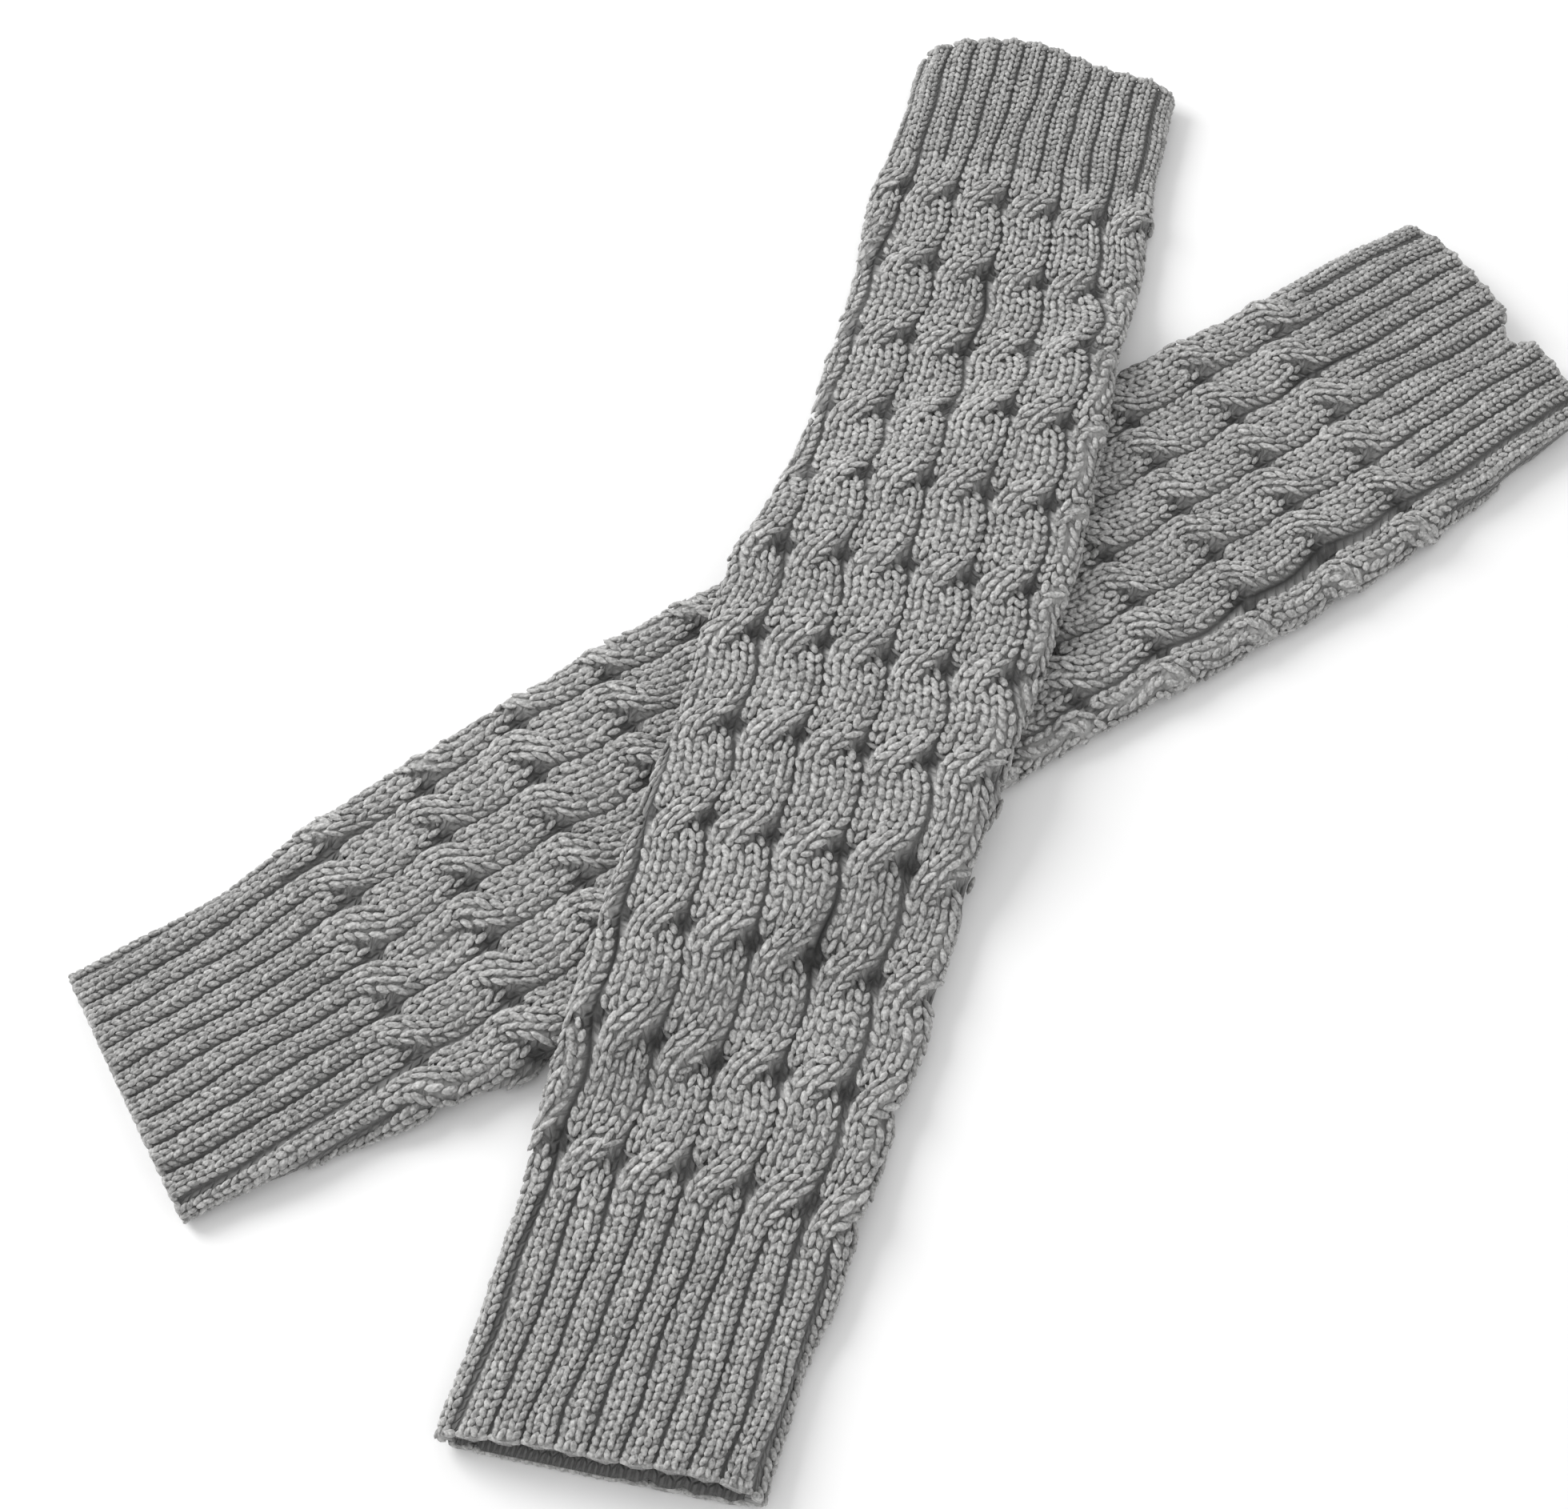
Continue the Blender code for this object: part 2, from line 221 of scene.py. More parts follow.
def distanceRound(left, right):
    flat = 2.0 * (left + right - 2.0 * fabric["cableRise"] - fabric["flatHeight"])
    return flat + math.pi * fabric["flatHeight"]


def arcTo(left, right, width, column):
    # the cables shown have their own width, and the rest share what is left underneath
    shownCables = fabric["cablesShown"]
    shown = (np.minimum(column, shownCables) - fabric["groovesLeft"]) * width
    hidden = np.maximum(column - shownCables, 0.0) / (fabric["cablesRound"] - shownCables)
    return shown + hidden * (distanceRound(left, right) - shownCables * width)


def sectionPoint(left, right, groove, arc, offset):
    # across, height and how much it faces up, round the flattened section
    fold = 0.5 * fabric["flatHeight"]
    reach = fold + offset
    leftFold = -left + fabric["cableRise"] + fold
    rightFold = right - fabric["cableRise"] - fold
    flat, bend = rightFold - leftFold, math.pi * fold
    place = (arc + groove - leftFold) % (2.0 * (flat + bend))
    rightTurn = (place - flat) / fold
    leftTurn = (place - 2.0 * flat - bend) / fold
    zones = [place < flat, place < flat + bend, place < 2.0 * flat + bend]
    onTop = np.ones_like(place)
    overRight = rightFold + reach * np.sin(rightTurn)
    backBelow = rightFold - (place - flat - bend)
    overLeft = leftFold - reach * np.sin(leftTurn)
    across = np.select(zones, [leftFold + place, overRight, backBelow], overLeft)
    height = np.select(zones, [fold + reach, fold + reach * np.cos(rightTurn), fold - reach],
                       fold - reach * np.cos(leftTurn))
    facing = np.select(zones, [onTop, np.cos(rightTurn), -onTop], -np.cos(leftTurn))
    return across, height, facing


def creaseDepth(warmer, across, along):
    dip = np.zeros_like(across)
    for place, rim, end, width, depth in warmer["creases"]:
        inward = (along / mm - rim) / (end - rim)
        dip += depth * mm * (1.0 - ease(inward)) * bell((across / mm - place) / width)
    return dip


def liftShare(x, y):
    # 1 above the lower tube, down to 0 a little way outside its edges
    heading = underLegWarmer["heading"]
    dx, dy = x - lay["crossingPoint"][0], y - lay["crossingPoint"][1]
    across = -math.sin(heading) * dx + math.cos(heading) * dy
    along = underLegWarmer["toCrossing"] + math.cos(heading) * dx + math.sin(heading) * dy
    left, right = readOutline(underLegWarmer, along)[:2]
    edge = np.where(across > 0.0, right, left)
    return 1.0 - ease((np.abs(across) - edge + lay["shoulder"]) / (lay["shoulder"] + lay["runOut"]))


def tubePoint(warmer, along, column, rise, proud=0.0):
    # rise fades out underneath, proud is added everywhere; also gives how much the place faces up
    along, column, rise = np.broadcast_arrays(np.asarray(along, float), column, rise)
    left, right, groove, width, crown, skew = readOutline(warmer, along)
    arc = arcTo(left, right, width, column)
    facing = sectionPoint(left, right, groove, arc, np.zeros_like(arc))[2]
    raised = ease((facing - fabric["fadeEnd"]) / (fabric["fadeStart"] - fabric["fadeEnd"]))
    excess = np.maximum(rise - fabric["cableRise"], 0.0)
    rise = rise - excess * (1.0 - ease(facing * fabric["crossingFade"]))
    offset = np.where(rise > 0.0, rise * raised, rise) + proud
    across, height, facing = sectionPoint(left, right, groove, arc, offset)
    wall = fabric["wall"]
    upper = np.clip((height - wall) / (fabric["flatHeight"] - 2.0 * wall), 0.0, 1.0)
    edge = np.minimum(np.abs(across) / np.where(across > 0.0, right, left), 1.0)
    dip = creaseDepth(warmer, across, along)
    bow = np.maximum(crown * (1.0 - edge ** fabric["crownPower"]) - dip, 0.0)
    nearTopRim = 1.0 - ease(along / fabric["rimReach"])
    corner = warmer["rimRound"] * edge ** fabric["cornerPower"]
    drawnIn = (corner + fabric["creaseDrawsRim"] * dip) * nearTopRim
    run = along + skew * across + drawnIn - warmer["toCrossing"]
    aheadX, aheadY = math.cos(warmer["heading"]), math.sin(warmer["heading"])
    x = lay["crossingPoint"][0] + aheadX * run - aheadY * across
    y = lay["crossingPoint"][1] + aheadY * run + aheadX * across
    z = height + bow * upper + warmer["lift"] * liftShare(x, y)
    return np.stack([x, y, z], -1), facing


def legSpan(warmer):
    spacing = cable["spacing"] * warmer["length"]
    start = cable["firstCrossing"] * warmer["length"] - 0.5 * spacing
    return start, start + cable["crossings"] * spacing


# The relief of a cable and of a rib

ribbedCuff = {
    "perCable": 2,                  # ribs to a cable
    "ribRise": 1.5 * mm,
    "ribFullness": 0.6,             # under 1 squares the rib's rounded top
    "rowHeight": 2.25 * mm,
    "groove": 0.11,                 # of a rib's width
    "thick": 0.72 * mm,             # this and the next two are as for the cables' stitches
    "point": 0.12,
    "open": 0.38,
}


def acrossRib(column):
    return (column * ribbedCuff["perCable"]) % 1.0


def waleShare():
    # the width of a wale, and half the width of a strand, as a share of the cable's
    return (1.0 - cable["groove"]) / cable["wales"]


def strandSwap(course, over):
    # where the strand's middle is across the cable, and how steeply it moves
    start, length = cable["overSwap"] if over else cable["underSwap"]
    t = np.clip((course - start) / length, 0.0, 1.0)
    reach = waleShare() * (1.0 if over else -1.0)
    return 0.5 + reach * (1.0 - 2.0 * ease(t)), -2.0 * reach * 6.0 * t * (1.0 - t) / length


def crossingShare(course, spread):
    return bell((course - cable["crossingAt"]) / spread)


def ribShare(place):
    # 1 where a cuff's ribs still run on in the leg, at both of its ends
    last = cable["crossings"]
    return 1.0 - ease(place / cable["ribsEnd"]) * ease((last - place) / cable["ribsEnd"])


def fullHeight(inCable):
    # the flat-topped form between crossings
    edge = np.abs(2.0 * inCable - 1.0)
    return fabric["cableRise"] * np.sqrt(np.maximum(1.0 - edge ** cable["flatTop"], 0.0))


def ribHeight(inRib):
    wave = np.maximum(np.sin(math.pi * inRib), 0.0)
    return ribbedCuff["ribRise"] * wave ** ribbedCuff["ribFullness"]


def strandHeight(offset, halfWidth, top):
    return top * np.sqrt(np.maximum(1.0 - np.abs(offset / halfWidth) ** cable["strandTop"], 0.0))


def cableRelief(inCable, course, place):
    crossing = crossingShare(course, cable["crossingLength"])
    waist = 1.0 - cable["waist"] * crossingShare(course, cable["waistLength"])
    within = 0.5 + (inCable - 0.5) / waist
    tops = {
        True: fabric["cableRise"] + cable["crossingRise"] * crossing,
        False: fabric["cableRise"] * cable["underHeight"],
    }
    strands = []
    for over, top in tops.items():
        centre, slope = strandSwap(course, over)
        offset = (inCable - centre) / np.sqrt(1.0 + (slope * steepness) ** 2)
        strands.append(strandHeight(offset, waleShare(), top))
    height = fullHeight(within) * (1.0 - crossing) + np.maximum(*strands) * crossing
    ribs = ribHeight(acrossRib(inCable))
    share = ribShare(place)
    return height * (1.0 - share) + ribs * share


# How unevenly the fabric lies. A wave is its size, its length along and its turns round the tube.
unevenness = {
    "sway": ((0.030, 11.0 * mm, 3.0), (0.018, 4.7 * mm, 7.0)),      # sizes in columns
    "slide": ((0.55, 23.0 * mm, 4.0), (0.35, 9.0 * mm, 9.0)),       # sizes in mm
    "ladderEdge": 0.04,             # how sharply a ladder parts its columns, and how far aside
    "ladderReach": 0.45,
    "ladderShade": 0.15,            # half width of the painted shade in it, in columns
}


def rimWave(warmer, along, column):
    # where a rim lies further out (more than 0) or in than the straight cut
    shift = np.zeros_like(along * column)
    halfRound = 0.5 * fabric["cablesRound"]
    for rim, place, width, out in warmer["rimWaves"]:
        apart = (column - place + halfRound) % fabric["cablesRound"] - halfRound
        distance, outward = (along, -1.0) if rim == "top" else (warmer["length"] - along, 1.0)
        near = 1.0 - ease(distance / fabric["waveReach"])
        shift += outward * out * mm * bell(apart / width) * near
    return shift


def legPlace(warmer, along):
    # how many repeats into the cabled leg, and 1 within it
    start, end = legSpan(warmer)
    place = (along - start) / (end - start) * cable["crossings"]
    return place, ease(place) * ease(cable["crossings"] - place)


def wander(warmer, along, column):
    # columns sway a little and rows run a little up and down
    turn = 2.0 * math.pi * column / fabric["cablesRound"]
    sway, slide = (sum(size * np.sin(along / length + turns * turn) for size, length, turns in waves)
                   for waves in (unevenness["sway"], unevenness["slide"]))
    place, inLeg = legPlace(warmer, along)
    sway = sway + cable["bulge"] * inLeg * np.cos(2.0 * math.pi * place)
    for groove, at, gap, length in warmer["ladders"]:
        apart = column - groove
        parted = gap * np.tanh(apart / unevenness["ladderEdge"]) * bell(apart / unevenness["ladderReach"])
        sway = sway + parted * bell((along / mm - at) / length)
    return sway, slide * mm


def stretchAt(warmer, along, column, reach):
    # how much wider than it was knitted the fabric would be here, where it turns round a fold
    after = tubePoint(warmer, along, column + reach, fabric["cableRise"])[0]
    before = tubePoint(warmer, along, column - reach, fabric["cableRise"])[0]
    width = readOutline(warmer, along)[3]
    stretch = np.linalg.norm(after - before, axis=-1) / (2.0 * reach * width)
    return np.maximum(stretch, 1.0) ** fabric["holdsTogether"]


def rimRecess(warmer, along, column):
    # the rim falls back in the grooves between ribs
    toTop, toAnkle = along, warmer["length"] - along
    near = 1.0 - ease(np.minimum(toTop, toAnkle) / fabric["recessReach"])
    wave = np.maximum(np.sin(math.pi * acrossRib(column)), 0.0)
    recess = fabric["rimScallop"] * (1.0 - wave ** ribbedCuff["ribFullness"]) * near
    shown = column % fabric["cablesRound"] < fabric["cablesShown"]
    return np.where(shown, recess * np.where(toTop < toAnkle, 1.0, -1.0), 0.0)


def pinchDepth(warmer, along, column):
    depth = np.zeros_like(along * column)
    for place, at, across, length, deep in warmer["pinches"]:
        depth += deep * mm * bell((column - place) / across) * bell((along / mm - at) / length)
    return depth


def laidPoint(warmer, along, column, rise, proud=0.0):
    # a place on the fabric as it lies, with its unevenness, for stitches and fabric alike
    sway, slide = wander(warmer, along, column)
    calm = ease(np.minimum(along, warmer["length"] - along) / fabric["calmReach"])
    recess = rimRecess(warmer, along, column)
    sunk = np.where(rise > 0.0, pinchDepth(warmer, along, column), 0.0)
    shift = slide * calm + recess + rimWave(warmer, along, column)
    return tubePoint(warmer, along + shift, column + sway * calm, rise, proud - sunk)


# Node trees are made through one method, and maths through operators on wires

class Wire:
    def __init__(self, maker, socket):
        self.maker = maker
        self.socket = socket

    def __add__(self, other):
        return self.maker.maths("ADD", self, other)

    def __sub__(self, other):
        return self.maker.maths("SUBTRACT", self, other)

    def __rsub__(self, other):
        return self.maker.maths("SUBTRACT", other, self)

    def __mul__(self, other):
        return self.maker.maths("MULTIPLY", self, other)

    __radd__ = __add__
    __rmul__ = __mul__

    def output(self, name):
        return Wire(self.maker, self.socket.node.outputs[name])


class NodeMaker:
    def __init__(self, tree):
        self.tree = tree

    def node(self, kind, settings=None, sockets=None, output=0):
        made = self.tree.nodes.new(kind)
        for name, value in (settings or {}).items():
            setattr(made, name, value)
        for name, value in (sockets or {}).items():
            if isinstance(value, Wire):
                self.tree.links.new(value.socket, made.inputs[name])
            else:
                made.inputs[name].default_value = value
        return Wire(self, made.outputs[output])

    def maths(self, operation, first, second=0.0):
        return self.node("ShaderNodeMath", {"operation": operation}, {0: first, 1: second})

    def smooth(self, value, low, high):
        return self.node("ShaderNodeMapRange", {"interpolation_type": "SMOOTHSTEP"},
                         {"Value": value, "From Min": low, "From Max": high})

    def between(self, value, low, high):
        return self.node("ShaderNodeMapRange", {}, {"Value": value, "To Min": low, "To Max": high})

    def attribute(self, name, output="Fac"):
        return self.node("ShaderNodeAttribute", {"attribute_name": name}, output=output)

    def noise(self, size, detail):
        place = self.node("ShaderNodeTexCoord", output="Object")
        return self.node("ShaderNodeTexNoise", {}, {"Vector": place, "Scale": size, "Detail": detail})


def placed(name, data):
    made = bpy.data.objects.new(name, data)
    bpy.context.scene.collection.objects.link(made)
    return made


def newMaterial(name):
    made = bpy.data.materials.new(name)
    made.use_nodes = True
    return made, NodeMaker(made.node_tree), made.node_tree.nodes["Principled BSDF"]


# Grey marled yarn
yarn = {
    # painted light and painted shade: the levels of a leg's lit outward side and of its shaded sides
    "light": 0.395,
    "dark": 0.36,
    "tintSpread": 0.30,             # from stitch to stitch
    "flecks": (1200.0, 2.0),        # to the metre, and the noise's detail
    "fleckDepth": 2.2,
    "clouds": (55.0, 1.0),
    "cloudDepth": 0.3,
    "lit": (-0.55, 0.75),           # a leg is painted from shade to light between these, outward
    "ends": (0.5, 1.0),             # and is painted darker again towards its ends, as painted shade
    "endShade": 0.4,
    "plyTwist": (4.0, 3.0),         # how fast the plies wind, lengthwise and across
    "plies": 2.0,
    "plyDepth": 0.5,
    "plyBump": (0.35, 0.3 * mm),    # strength and distance
    # painted shade on stitches low in the fabric, carried by the "sunk" attribute
    "shadeWhenSunk": 0.7,
    "grooveShade": 0.45,            # how much painted shade the grooves get, beside the holes
    "ribShade": 0.5,                # and between a cuff's ribs
    "red": 1.005,                   # a little warmer than neutral
    "blue": 0.985,
    "roughness": 0.92,
    "sheen": 0.25,                  # for the wool's fuzz
    "specular": 0.2,
}
# The plain knit behind the stitches
ground = {
    # painted light on a V's raised legs and painted shade in the gaps between them
    "light": 0.42,
    "dark": 0.35,
    "fleckDepth": 0.5,
    "vDepth": 0.55,                 # how far a V's open ends run up the next row
    "vAcross": (0.0, 0.7),          # each leg of a V rises over these shares of its half width
    "vAlong": (0.0, 0.5),           # and half length
    # painted shade in grooves, in holes and inside the tube, through the "depth" attribute
    "shadeWhenDeep": 0.92,
    "vBump": (0.8, 0.9 * mm),       # strength and distance
    "fleckBump": 0.15,
}


def finishYarn(maker, surface, level, bump, height):
    strength, distance = bump
    colour = maker.node("ShaderNodeCombineColor", {},
                        {0: level * yarn["red"], 1: level, 2: level * yarn["blue"]})
    relief = maker.node("ShaderNodeBump", {}, {"Strength": strength, "Distance": distance, "Height": height})
    maker.tree.links.new(colour.socket, surface.inputs["Base Color"])
    maker.tree.links.new(relief.socket, surface.inputs["Normal"])
    surface.inputs["Roughness"].default_value = yarn["roughness"]
    surface.inputs["Sheen Weight"].default_value = yarn["sheen"]
    surface.inputs["Specular IOR Level"].default_value = yarn["specular"]


def yarnMaterial():
    # "lobe" is the place on one leg of a stitch, from -1 to 1: outward, across and lengthwise
    made, maker, surface = newMaterial("marledYarn")
    lobe = maker.node("ShaderNodeSeparateXYZ", {}, {0: maker.attribute("lobe", "Vector")})
    outward, side, lengthwise = lobe, lobe.output("Y"), lobe.output("Z")
    fleck = maker.noise(*yarn["flecks"])
    cloud = maker.noise(*yarn["clouds"])
    # painted shade on each leg: light outward, darker at its sides and towards its ends
    ends = maker.smooth(maker.maths("ABSOLUTE", lengthwise), *yarn["ends"])
    paintedLitShare = maker.smooth(outward, *yarn["lit"]) * (1.0 - yarn["endShade"] * ends)
    marl = 1.0 + (maker.attribute("tint") - 0.5) * yarn["tintSpread"]
    marl = marl + (fleck - 0.5) * yarn["fleckDepth"] + (cloud - 0.5) * yarn["cloudDepth"]
    shade = maker.between(paintedLitShare, yarn["dark"], yarn["light"])
    # painted shade from the "sunk" attribute
    level = shade * marl * (1.0 - maker.attribute("sunk") * yarn["shadeWhenSunk"])
    twistAlong, twistAcross = yarn["plyTwist"]
    ply = maker.maths("SINE", (lengthwise * twistAlong + side * twistAcross) * yarn["plies"])
    finishYarn(maker, surface, level, yarn["plyBump"], ply * yarn["plyDepth"] + fleck)
    return made


def groundMaterial():
    # "knit" counts wales and rows, and "depth" is painted shade: how far a place lies in the shade of the
    # stitches
    made, maker, surface = newMaterial("knitGround")
    knit = maker.node("ShaderNodeSeparateXYZ", {}, {0: maker.node("ShaderNodeUVMap", {"uv_map": "knit"})})
    wales, rows = knit, knit.output("Y")
    fleck = maker.noise(*yarn["flecks"])
    fromMiddle = maker.maths("ABSOLUTE", maker.maths("FRACT", wales) - 0.5) * 2.0
    inRow = maker.maths("FRACT", rows + fromMiddle * ground["vDepth"])
    acrossLeg = 1.0 - maker.maths("ABSOLUTE", fromMiddle - 0.5) * 2.0
    alongLeg = 1.0 - maker.maths("ABSOLUTE", inRow - 0.5) * 2.0
    raised = maker.smooth(acrossLeg, *ground["vAcross"]) * maker.smooth(alongLeg, *ground["vAlong"])
    # painted shade between the V's raised legs, and painted light on them
    shade = maker.between(raised, ground["dark"], ground["light"])
    marl = 1.0 - 0.5 * ground["fleckDepth"] + fleck * ground["fleckDepth"]
    # painted shade from the "depth" attribute
    level = shade * marl * (1.0 - maker.attribute("depth") * ground["shadeWhenDeep"])
    finishYarn(maker, surface, level, ground["vBump"], raised + fleck * ground["fleckBump"])
    return made


yarnFinish = yarnMaterial()
groundFinish = groundMaterial()
print("materials made")


# The stitches, each leg of a V on its own. Widths are in wales and lengths in rows.
stitch = {
    "point": 0.11,                  # the two ends of a V's leg, from the wale's middle
    "open": 0.38,
    "length": 1.18,
    "overlap": 1.12,                # legs run this much past their ends
    "thick": 0.68 * mm,
    "halfWidth": 0.25,
    "halfWidths": (0.45 * mm, 1.0 * mm),    # narrowest and widest
    "drawn": 0.25,                  # where a strand runs steeply, how far a V's legs draw together
    "drawnTo": 0.25,                # and to how far from the wale's middle
    "pointProud": 0.10 * mm,
    "openDeep": 0.35 * mm,
    "looseness": 0.10 * mm,
    "crookedness": 0.09,
    "unevenness": 0.07,
    # painted light on the upper strand where it stands proud at a crossing
    "litWhenProud": 0.2,
    "litFrom": 1.2 * mm,            # stitches lower than this are painted darker, as painted shade from the rest
    "lowestShown": -0.45,           # facing down more than this, the plain knit takes over
    "mostCovered": 0.97,            # stitches more hidden than this are left out
    "sides": 5,
    "rings": 4,
}


def stitchTree():
    # one leg of a stitch, put on every point, turned along its own leg and outward
    tree = bpy.data.node_groups.new("yarnStitches", "GeometryNodeTree")
    inputs = {"Points": "Geometry", "Sides": "Int", "Rings": "Int", "Seed": "Int", "Yarn": "Material"}
    for name, kind in inputs.items():
        tree.interface.new_socket(name=name, in_out="INPUT", socket_type="NodeSocket" + kind)
    tree.interface.new_socket(name="Stitches", in_out="OUTPUT", socket_type="NodeSocketGeometry")
    maker = NodeMaker(tree)
    given = maker.node("NodeGroupInput", output="Points")
    leg = maker.node("GeometryNodeMeshUVSphere", {}, {"Segments": given.output("Sides"),
                                                      "Rings": given.output("Rings"), "Radius": 1.0})
    place = maker.node("GeometryNodeInputPosition")
    leg = maker.node("GeometryNodeStoreNamedAttribute", {"data_type": "FLOAT_VECTOR", "domain": "POINT"},
                     {"Geometry": leg, "Name": "lobe", "Value": place})
    axis, outward, size = (
        maker.node("GeometryNodeInputNamedAttribute", {"data_type": "FLOAT_VECTOR"}, {"Name": name})
        for name in ("axis", "outward", "size"))
    turned = maker.node("FunctionNodeAlignRotationToVector", {"axis": "Z"}, {"Vector": axis})
    turned = maker.node("FunctionNodeAlignRotationToVector", {"axis": "X", "pivot_axis": "Z"},
                        {"Rotation": turned, "Vector": outward})
    tint = maker.node("FunctionNodeRandomValue", {"data_type": "FLOAT"}, {"Seed": given.output("Seed")},
                      output=1)
    points = maker.node("GeometryNodeStoreNamedAttribute", {"data_type": "FLOAT", "domain": "POINT"},
                        {"Geometry": given, "Name": "tint", "Value": tint})
    laid = maker.node("GeometryNodeInstanceOnPoints", {}, {"Points": points, "Instance": leg,
                                                           "Rotation": turned, "Scale": size})
    real = maker.node("GeometryNodeRealizeInstances", {}, {"Geometry": laid})
    smooth = maker.node("GeometryNodeSetShadeSmooth", {}, {"Geometry": real})
    dyed = maker.node("GeometryNodeSetMaterial", {}, {"Geometry": smooth, "Material": given.output("Yarn")})
    closing = tree.nodes.new("NodeGroupOutput")
    tree.links.new(dyed.socket, closing.inputs["Stitches"])
    return tree


stitchMaker = stitchTree()


def countTriangles(mesh):
    return sum(len(p.vertices) - 2 for p in mesh.polygons)


def growStitches(name, legs, seed):
    # legs: middle, axis, outward, half sizes (thick, wide, long) and painted shade ("sunk"), one row each
    middle, axis, outward, size, sunk = legs
    points = bpy.data.meshes.new(name + "Points")
    points.from_pydata(middle.tolist(), [], [])
    for label, values in (("axis", axis), ("outward", outward), ("size", size)):
        made = points.attributes.new(label, "FLOAT_VECTOR", "POINT")
        made.data.foreach_set("vector", np.ascontiguousarray(values, np.float32).ravel())
    points.attributes.new("sunk", "FLOAT", "POINT").data.foreach_set("value", sunk.astype(np.float32))
    holder = placed(name + "Points", points)
    grow = holder.modifiers.new("stitches", "NODES")
    grow.node_group = stitchMaker
    wanted = {"Sides": stitch["sides"], "Rings": stitch["rings"], "Seed": seed, "Yarn": yarnFinish}
    for item in stitchMaker.interface.items_tree:
        if item.in_out == "INPUT" and item.name in wanted:
            grow[item.identifier] = wanted[item.name]
    evaluated = holder.evaluated_get(bpy.context.evaluated_depsgraph_get())
    mesh = bpy.data.meshes.new_from_object(evaluated)
    mesh.name = name
    bpy.data.objects.remove(holder)
    print(name, len(middle), "stitch legs", countTriangles(mesh), "triangles")
    return placed(name, mesh)


def unit(vectors):
    return vectors / np.maximum(np.linalg.norm(vectors, axis=-1, keepdims=True), 1e-12)


def paintedShadeShare(warmer, along, column):
    # how much painted shade a groove gets: 1 where it stands open, beside a crossing and in a ladder, and
    # ribShade between a cuff's ribs
    place, inLeg = legPlace(warmer, along)
    share = crossingShare(place % 1.0, cable["holeLength"]) * inLeg + yarn["ribShade"] * (1.0 - inLeg)
    for groove, at, _, length in warmer["ladders"]:
        beside = (column - groove) / unevenness["ladderShade"]
        share = share + bell(beside) * bell((along / mm - at) / length)
    return np.minimum(share, 1.0)


# painted shade in the grooves: grooveShade everywhere, rising to full where a groove stands open
def grooveShade(warmer, along, column):
    plain = yarn["grooveShade"]
    return plain + (1.0 - plain) * paintedShadeShare(warmer, along, column)


def legsBetween(warmer, pointEnd, openEnd, waleWidth, thick, seed, stretch):
    # one leg from a V's point to its open end; each end is (along, column, rise)
    start, facing = laidPoint(warmer, *pointEnd, proud=stitch["pointProud"])
    end, _ = laidPoint(warmer, *openEnd, proud=-stitch["openDeep"])
    along, column, rise = [0.5 * (a + b) for a, b in zip(pointEnd, openEnd)]
    outward = laidPoint(warmer, along, column, rise, proud=mm)[0] - laidPoint(warmer, along, column, rise)[0]
    step = 0.05                     # in columns, to measure the fabric's width here
    beside = laidPoint(warmer, along, column + step, rise)[0]
    before = laidPoint(warmer, along, column - step, rise)[0]
    wale = np.linalg.norm(beside - before, axis=-1) / (2.0 * step) * waleWidth
    wide = np.clip(stitch["halfWidth"] * wale / stretch, *stitch["halfWidths"])
    long = 0.5 * np.linalg.norm(end - start, axis=-1) * stitch["overlap"]
    # sunk is painted shade on stitches low in the fabric and in open grooves; painted light takes some off
    # where the upper strand stands proud
    sunk = np.clip(1.0 - rise / stitch["litFrom"], 0.0, 1.0) * grooveShade(warmer, along, column)
    proud = np.clip((rise - fabric["cableRise"]) / cable["crossingRise"], 0.0, 1.0)
    sunk = sunk - stitch["litWhenProud"] * proud
    rng = np.random.default_rng(seed)
    loose = rng.normal(0.0, stitch["looseness"], start.shape)
    lean = rng.normal(0.0, stitch["crookedness"], start.shape)
    size = np.stack([np.full(wide.shape, thick), wide, long], -1)
    size *= rng.normal(1.0, stitch["unevenness"], size.shape)
    return [0.5 * (start + end) + loose, unit(unit(end - start) + lean), unit(outward), size, sunk], facing


def keep(legs, shown):
    # stitches that would reach under the table are left out as well
    middle, axis, _, size, _ = legs
    steep = axis[..., 2] ** 2
    reach = np.sqrt(steep * size[..., 2] ** 2 + (1.0 - steep) * size[..., 1] ** 2)
    shown = shown & (middle[..., 2] > reach)
    return [part[shown] for part in legs]


def join(groups):
    return [np.concatenate(parts) for parts in zip(*groups)]


def coveredShare(inCable, at):
    # how far the lower strand's stitches are hidden under the upper strand
    overCentre, overSlope = strandSwap(at, True)
    overReach = waleShare() * np.sqrt(1.0 + (overSlope * steepness) ** 2)
    leftEdge, rightEdge = cable["coverEdges"]
    edge = np.where(inCable > overCentre, rightEdge, leftEdge)
    under = ease((edge - np.abs(inCable - overCentre) / overReach) / cable["coverSoftness"])
    first, last = cable["coverSpan"]
    fade = cable["coverFade"]
    return under * ease((at - first) / fade) * ease((last - at) / fade)


